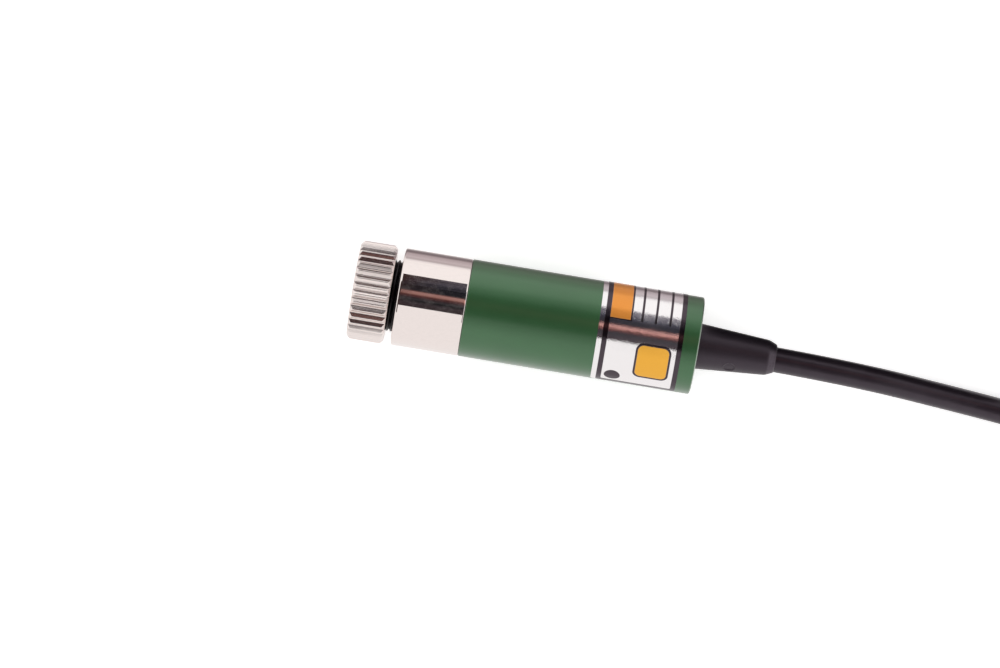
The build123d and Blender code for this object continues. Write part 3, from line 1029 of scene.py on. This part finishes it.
def anodised_finish():
    """Green satin anodising: fine blasted grain, and bare metal along the rims."""
    coat = {"Coat_Weight": 1.0, "Coat_Roughness": 0.3, "Coat_IOR": 1.65}
    look = Finish("green_anodised", Metallic=0.58, **coat)
    marks = look.group("handling", Roughness=0.4, Smudge=0.07, Grain=1.0)
    slow = look.ramp(look.noise(3.0, 3.0, stretch=(0.3, 1, 1)), 0.3, 0.7)
    green = look.mix(slow, (0.018, 0.117, 0.029), (0.021, 0.127, 0.033))
    rim_start, rim_full = tube_bare_rim
    rear_rim = look.ramp(look.place()[0], (x_back - rim_start) * MM, (x_back - rim_full) * MM)
    edge = look.group("edge", Width=0.08, Breakup=0.4)
    worn = look.times(look.larger(edge["Mask"], rear_rim), 0.55)
    look.set(Base_Color=look.mix(worn, green, (0.62, 0.68, 0.61)), Roughness=marks["Roughness"])
    look.bump(marks["Height"], 0.003, strength=0.8)
    return look


def foil_finish():
    """Bright foil with plain printed fields, lines and a dark frame."""
    look = Finish("silver_foil")
    x, y, z = look.place()
    turn = look.math("ARCTAN2", look.times(y, -1.0), z)
    around = look.minus(math.radians(foil_low_end), turn)
    v = look.times(around, body_d / 2 + foil_thick / 2)
    lean = look.times(look.minus(v, foil_middle), foil_lean)
    u = look.plus(look.minus(look.math("DIVIDE", x, MM), foil_front), lean)

    def field(u_from, u_to, v_from, v_to, corner):
        sizes = {"Middle_u": (u_from + u_to) / 2, "Middle_v": (v_from + v_to) / 2}
        sizes |= {"Half_u": (u_to - u_from) / 2, "Half_v": (v_to - v_from) / 2}
        return look.group("field", u=u, v=v, Round=corner, **sizes)["Mask"]

    orange, amber = field(*orange_bar), field(*amber_square)
    dark = look.minus(field(*frame_outer), field(*frame_inner))
    for rim, inside in ((orange_rim, orange), (amber_rim, amber)):
        dark = look.larger(dark, look.minus(field(*rim), inside))
    for spot in dark_lines + (dark_dot,):
        dark = look.larger(dark, field(*spot))

    marks = look.group("handling", Roughness=0.07, Smudge=0.08, Grain=0.35)
    colour = look.mix(amber, foil_silver, foil_amber)
    colour = look.mix(orange, colour, foil_orange)
    coloured = look.larger(orange, amber)
    inked = look.larger(coloured, dark)
    look.set(
        Base_Color=look.mix(dark, colour, foil_dark),
        Metallic=look.minus(1.0, look.times(coloured, 0.55)),
        Roughness=look.plus(marks["Roughness"], look.times(inked, 0.1)),
    )
    height = look.plus(look.noise(0.5, 3.0), look.times(look.noise(0.16), 0.5))
    height = look.plus(height, look.times(inked, 0.2))
    look.bump(look.plus(height, marks["Height"]), 0.009)
    return look


def boot_finish():
    """The boot's rubber, with painted light: its nose is painted lighter towards -Y."""
    sheen = {"Specular_IOR_Level": 0.75, "Specular_Tint": sheen_tint}
    look = moulded_finish("boot_rubber", (0.007, 0.0045, 0.0075), 0.45, 0.07, 0.006, 1.5, **sheen)
    base = look.shader.inputs["Base Color"].links[0].from_socket
    x, y = look.place()[:2]
    (x_start, x_full), (y_start, y_full) = boot_nose_painted_light
    # painted light: a lighter colour on the nose's -Y side, standing for light from -Y, broken up by
    # noise
    nose = look.ramp(x, (boot_end - x_start) * MM, (boot_end - x_full) * MM)
    nose = look.times(nose, look.ramp(y, y_start * MM, y_full * MM))
    painted_light_patches = look.ramp(look.noise(0.3, 3.0), 0.3, 0.6, 0.55, 1.0)
    look.set(Base_Color=look.mix(look.times(nose, painted_light_patches), base, (0.040, 0.032, 0.040)))
    return look


def cable_finish():
    """Soft black jacket, finely grained and slightly uneven."""
    look = Finish("cable_jacket", Specular_IOR_Level=0.7, Specular_Tint=sheen_tint)
    body = look.group("moulded", Grain_size=0.12, Roughness=0.34)
    base = look.mix(body["Tone"], (0.007, 0.004, 0.007), (0.011, 0.008, 0.011))
    look.set(Base_Color=base, Roughness=body["Roughness"])
    look.bump(look.plus(body["Height"], look.times(look.noise(0.9, 4.0), 1.5)), 0.006)
    return look


def glass_finish(name, tint):
    """Coated glass, a little dusty."""
    look = Finish(name, IOR=1.5, Transmission_Weight=1.0, Coat_Weight=0.2)
    dust = look.ramp(look.noise(0.25, 4.0), 0.58, 0.75)
    look.set(Base_Color=look.mix(dust, tint, shade(tint, 0.9)), Roughness=look.times(dust, 0.08))
    return look


def board_finish():
    """Green solder mask over copper tracks, with a bare fibreglass edge."""
    low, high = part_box("driver_board")
    look = Finish("board_green", Coat_Weight=0.3, Coat_Roughness=0.2)
    where = look.add("Mapping", {"Vector": look.add("TexCoord").outputs["Object"], "Scale": (1, 1, 0)})
    bricks = {"Vector": where.outputs[0], "Scale": 700.0, "Mortar Size": 0.03, "Mortar Smooth": 0.2}
    tracks = look.add("TexBrick", bricks, offset=0.4, squash=1.6).outputs["Fac"]
    green = look.mix(tracks, (0.020, 0.115, 0.045), (0.045, 0.20, 0.075))
    z = look.place()[2]
    start, full = (depth * MM for depth in board_mask)
    above = look.ramp(z, low.z + start, low.z + full)
    edge = look.minus(above, look.ramp(z, high.z - full, high.z - start))
    weave = look.mix(look.noise(0.12), (0.33, 0.30, 0.17), (0.48, 0.44, 0.27))
    rough = look.ramp(look.noise(0.3, 3.0), 0.3, 0.7, 0.3, 0.45)
    look.set(Base_Color=look.mix(edge, green, weave), Roughness=rough)
    look.bump(tracks, 0.02, strength=0.6)
    return look


def part_finish(name, colour, rough, metal_share, mark_share=None, mark_colour=None):
    """A small moulded part, tinned where metal_share is 1 and marked where mark_share is."""
    look = Finish(name)
    body = look.group("moulded", Grain_size=0.05, Roughness=rough)
    base = look.mix(body["Tone"], shade(colour, 0.8), colour)
    if mark_share:
        base = look.mix(mark_share(look), base, mark_colour)
    metal = metal_share(look)
    rest = look.times(look.minus(1.0, metal), body["Roughness"])
    look.set(
        Base_Color=look.mix(metal, base, tin),
        Metallic=metal,
        Roughness=look.plus(rest, look.times(metal, 0.28)),
    )
    look.bump(body["Height"], 0.004)
    return look


def x_ends(node, wide):
    """A share that is 1 within wide millimetres of both ends of a node along X."""
    low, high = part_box(node)
    less, more = wide * 0.98 * MM, wide * 1.02 * MM

    def share(look):
        x = look.place()[0]
        front = look.ramp(x, low.x + more, low.x + less)
        return look.larger(front, look.ramp(x, high.x - more, high.x - less))

    return share


def x_band(node, start, end):
    """A share that is 1 in a band across a node, in millimetres from its front."""
    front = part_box(node)[0].x

    def share(look):
        x = look.place()[0]
        rise = look.ramp(x, front + start * MM, front + (start + 0.02) * MM)
        return look.times(rise, look.ramp(x, front + end * MM, front + (end - 0.02) * MM))

    return share


def chip_legs(look):
    """A share that is 1 beyond the chip's body on both sides."""
    y = look.math("ABSOLUTE", look.place()[1])
    return look.ramp(y, chip_half * MM, (chip_half + 0.01) * MM)


def lead_finish(name, colour):
    """Insulation, and tinned wire where the leads are stripped."""
    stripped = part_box("red_lead")[0].x + lead_stripped * MM

    def share(look):
        return look.ramp(look.place()[0], stripped, stripped - 0.01 * MM)

    return part_finish(name, colour, 0.4, share)


# Studio


def make_flat(name, corners, faces, material):
    """A flat thing of the stage."""
    mesh = bpy.data.meshes.new(name)
    mesh.from_pydata(corners, [], faces)
    mesh.materials.append(material)
    return add_to_scene(bpy.data.objects.new(name, mesh))


def make_floor():
    """A wide pale floor that keeps the object's shadow and looks white to the camera; mirrored rays see
    a painted reflection on it.
    """
    look = Finish("floor_white", Roughness=0.9)
    tone = look.ramp(look.noise(40.0, 3.0), 0.3, 0.7)
    pale = (floor_white,) * 3
    look.set(Base_Color=look.mix(tone, pale, shade(pale, 0.99)))
    from_camera, mirrored = look.rays()
    glow = {"Color": (1, 1, 1), "Strength": look.times(from_camera, floor_glow)}
    lit = look.add("AddShader", {0: look.shader.outputs[0], 1: look.add("Emission", glow).outputs[0]})
    # painted reflection: mirrored rays see emitted grey bands by Y, plain in front of the ring, instead
    # of the lit floor
    x, y = look.place()[:2]
    bands = look.bands(look.math("DIVIDE", y, MM), floor_painted_reflection)
    start, full = floor_plain
    before_ring = look.ramp(x, start * MM, full * MM)
    plain = look.add("Emission", {"Color": look.mix(before_ring, bands, floor_painted_reflection[0][1])})
    surface = look.add("MixShader", {0: mirrored, 1: lit.outputs[0], 2: plain.outputs[0]})
    look.put(look.surface, surface.outputs[0])
    level = (floor_z - floor_gap) * MM
    signs = ((-1, -1), (1, -1), (1, 1), (-1, 1))
    corners = [(x * floor_half, y * floor_half, level) for x, y in signs]
    make_flat("floor", corners, [(0, 1, 2, 3)], look.material)


def make_card(name, corners, faces, light):
    """A card that only reflections show; light(wires) gives its colour and strength."""
    material = bpy.data.materials.new(name)
    material.use_nodes = True
    material.node_tree.nodes.clear()
    wires = Wiring(material.node_tree)
    glow = wires.add("Emission", light(wires))
    wires.add("OutputMaterial", {"Surface": glow.outputs[0]})
    card = make_flat(name, corners, faces, material)
    card.visible_camera = False
    card.visible_diffuse = False
    card.visible_shadow = False
    card.visible_transmission = False


def overhead_light(wires):
    """Painted reflection: dark, graded and blotchy, with a warm strip."""
    x, y = wires.place()[:2]
    angle = wires.math("DEGREES", wires.math("ARCTANGENT", wires.math("DIVIDE", y, card_height)))
    grain = wires.noise(55.0, 5.0, stretch=(9, 1, 1), rough=0.65)
    blotch = wires.ramp(grain, 0.4, 0.6, *card_blotch)
    strip = wires.times(*[wires.ramp(angle, *fade) for fade in card_strip])
    over_ring = wires.ramp(x, *card_to_ring)
    plain = wires.larger(strip, over_ring)
    blotch = wires.plus(blotch, wires.times(plain, wires.minus(1.0, blotch)))
    lean = wires.ramp(x, *card_to_foil, *card_lean)
    bands = wires.bands(wires.plus(angle, lean), card_colours)
    bright = wires.ramp(x, *card_to_foil, *card_bright)
    return {"Color": wires.mix(over_ring, bands, card_brown), "Strength": wires.times(blotch, bright)}


def side_light(wires):
    """Painted reflection: nearly black, a little lighter in places."""
    blotch = wires.ramp(wires.noise(8.0, 3.0), 0.3, 0.7, 0.004, 0.02)
    return {"Color": (1, 0.85, 1), "Strength": blotch}


def make_cards():
    """The card overhead and the one beside the cable, both painted reflections."""
    places = (-card_half_long, *card_middle, card_half_long)
    turns = (card_wing_turn, 0.0, card_wing_turn)
    corners, faces = [], []
    for start, end, turn in zip(places, places[1:], turns):
        edges = (math.radians(card_colours[i][0] - turn) for i in (0, -1))
        low, high = (math.tan(edge) * card_height for edge in edges)
        faces.append(tuple(range(len(corners), len(corners) + 4)))
        outline = (start, low), (end, low), (end, high), (start, high)
        corners += [(x, y, card_height) for x, y in outline]
    make_card("overhead_card", corners, faces, overhead_light)
    (start, end), (bottom, top) = side_card["x"], side_card["z"]
    outline = (start, bottom), (end, bottom), (end, top), (start, top)
    corners = [mm(x, side_card["y"], z) for x, z in outline]
    make_card("side_card", corners, [(0, 1, 2, 3)], side_light)


def make_lights():
    """An even white room and one soft key lamp."""
    world = bpy.data.worlds.new("white_room")
    bpy.context.scene.world = world
    world.use_nodes = True
    world.node_tree.nodes.clear()
    wires = Wiring(world.node_tree)
    from_camera, mirrored = wires.rays()
    level = wires.times(wires.minus(1.0, wires.larger(mirrored, from_camera)), room_light)
    side = wires.add("SeparateXYZ", {0: wires.add("TexCoord").outputs["Generated"]}).outputs[1]
    seen = wires.ramp(side, -0.5, 0.5, *room_mirrored)
    level = wires.plus(wires.plus(level, wires.times(mirrored, seen)), from_camera)
    tint = wires.mix(from_camera, room_tint, (1, 1, 1))
    sky = wires.add("Background", {"Color": tint, "Strength": level})
    wires.add("OutputWorld", {"Surface": sky.outputs[0]})
    data = bpy.data.lights.new("key", "AREA")
    data.shape = "DISK"
    data.size = key_wide
    data.energy = key_power
    key = add_to_scene(bpy.data.objects.new("key", data))
    key.location = key_place
    key.rotation_euler = (-Vector(key_place)).to_track_quat("-Z", "Y").to_euler()
    key.visible_glossy = False
    key.visible_transmission = False


# The module

make_camera()
cable = make_cable()
make_floor()
make_cards()
make_lights()

plated_ring = plated_finish("plated_ring", 0.2, 0.06, 0.0004, 0.01)
plated_barrel = plated_finish("plated_barrel", 0.035, 0.05, 0.0003, 0.032)
black_cell = turned_metal_finish("black_cell", (0.030, 0.028, 0.030), 0.3, 0.1)
lens_glass = glass_finish("lens_glass", (0.93, 0.97, 0.96))
spring_steel = turned_metal_finish("spring_steel", (0.55, 0.54, 0.53), 0.25, 0.2)
tie_plastic = moulded_finish("tie_plastic", (0.03, 0.03, 0.03), 0.4)
tinned = turned_metal_finish("solder", tin, 0.25, 0.3, 0.006, 0.9)
cable.data.materials.append(cable_finish().material)

make_piece("fluted_ring", fluted_ring_shape(), plated_ring, "focus_ring", "focus_head")
make_piece("threaded_cell", threaded_cell_shape(), black_cell, "lens_barrel", "focus_head", sharp=60)
make_piece("lens", lens_shape(), lens_glass, "collimating_lens", "focus_head")
spring_ends = ("housing", "focus_slide", mm(web_front, 0, 0), mm(washer_back, 0, 0))
make_piece("coil_spring", spring_shape(), spring_steel, "focus_spring", blend=spring_ends)
make_piece("plated_front_barrel", front_barrel_shape(), plated_barrel, "front_barrel")
make_piece("anodised_tube", housing_tube_shape(), anodised_finish(), "housing_tube")
make_piece("printed_foil", label_foil_shape(), foil_finish(), "label_foil")
make_piece("moulded_boot", boot_shape(), boot_finish(), "strain_relief")
cord_pieces = [make_piece("twist_tie", twist_tie_shape(), tie_plastic, "hank_tie")]
for colour, side, paint in (("red", 1, core_red), ("black", -1, core_black)):
    finish = moulded_finish(colour + "_insulation", paint, 0.35, 0.08, 0.003, 1.2)
    cord_pieces.append(make_piece(colour + "_core", core_end_shape(side), finish, colour + "_core_end"))
    cord_pieces.append(make_piece(colour + "_core_strands", core_strands_shape(side), tinned))

# CAD pieces that stay; the diode's pins and mount block keep the gold they came with
resistor_caps = x_ends("driver_resistors", 0.4)
capacitor_caps, capacitor_band = x_ends("driver_capacitor", 0.3), x_band("driver_capacitor", 0.3, 0.9)
diode_caps, diode_band = x_ends("protection_diode", 0.3), x_band("protection_diode", 0.4, 0.8)
capacitor_look = ((0.75, 0.47, 0.08), 0.4, capacitor_caps, capacitor_band, (0.25, 0.10, 0.03))
diode_look = ((0.03, 0.03, 0.032), 0.45, diode_caps, diode_band, (0.55, 0.55, 0.52))
kept_finishes = {
    "lens_retainer": black_cell,
    "slip_washer": moulded_finish("washer_plastic", (0.80, 0.80, 0.76), 0.4),
    "diode_base": turned_metal_finish("gold_plate", (0.83, 0.62, 0.26), 0.22),
    "diode_cap": turned_metal_finish("can_steel", (0.66, 0.63, 0.58), 0.25),
    "diode_window": glass_finish("window_glass", (0.95, 0.95, 0.93)),
    "diode_clamp_ring": turned_metal_finish("brass", (0.72, 0.53, 0.22), 0.3),
    "insulating_sleeve": moulded_finish("sleeve_plastic", (0.10, 0.095, 0.09), 0.45),
    "driver_board": board_finish(),
    "driver_chip": part_finish("chip_black", (0.028, 0.028, 0.030), 0.5, chip_legs),
    "driver_resistors": part_finish("resistor_black", (0.03, 0.028, 0.032), 0.35, resistor_caps),
    "driver_capacitor": part_finish("capacitor_yellow", *capacitor_look),
    "protection_diode": part_finish("diode_black", *diode_look),
    "solder_joints": tinned,
    "red_lead": lead_finish("red_lead_wire", core_red),
    "black_lead": lead_finish("black_lead_wire", core_black),
}
for node, finish in kept_finishes.items():
    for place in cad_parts[node].material_slots:
        place.material = finish.material

bpy.context.scene.view_settings.view_transform = "Standard"
